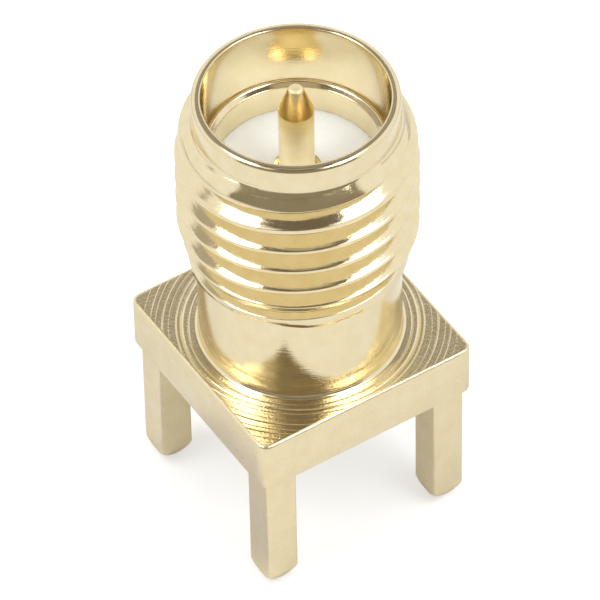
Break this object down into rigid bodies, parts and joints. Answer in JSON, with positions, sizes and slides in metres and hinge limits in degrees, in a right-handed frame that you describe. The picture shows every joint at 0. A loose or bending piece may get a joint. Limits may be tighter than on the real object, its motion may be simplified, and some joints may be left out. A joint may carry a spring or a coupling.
{
  "type": "sma connector",
  "caption": "Upright coaxial radio-frequency jack for a printed circuit board, with a threaded barrel, a male centre contact and through-hole legs.",
  "frame": {"origin": "on the connector's axis, in the plane of the board that the flange's underside sits on", "axes": "+Z along the axis, out of the barrel's mouth; X and Y along the sides of the square flange"},
  "size_m": [0.0064, 0.0064, 0.0141],
  "materials": {
    "plated_body": "satin gold plating over turned and milled brass",
    "insulator": "smooth white fluoropolymer",
    "plated_contact": "bright gold plating"
  },
  "bodies": {
    "root": {"body": "plated_body", "insulator": "insulator", "centre_contact": "plated_contact"}
  },
  "joints": []
}
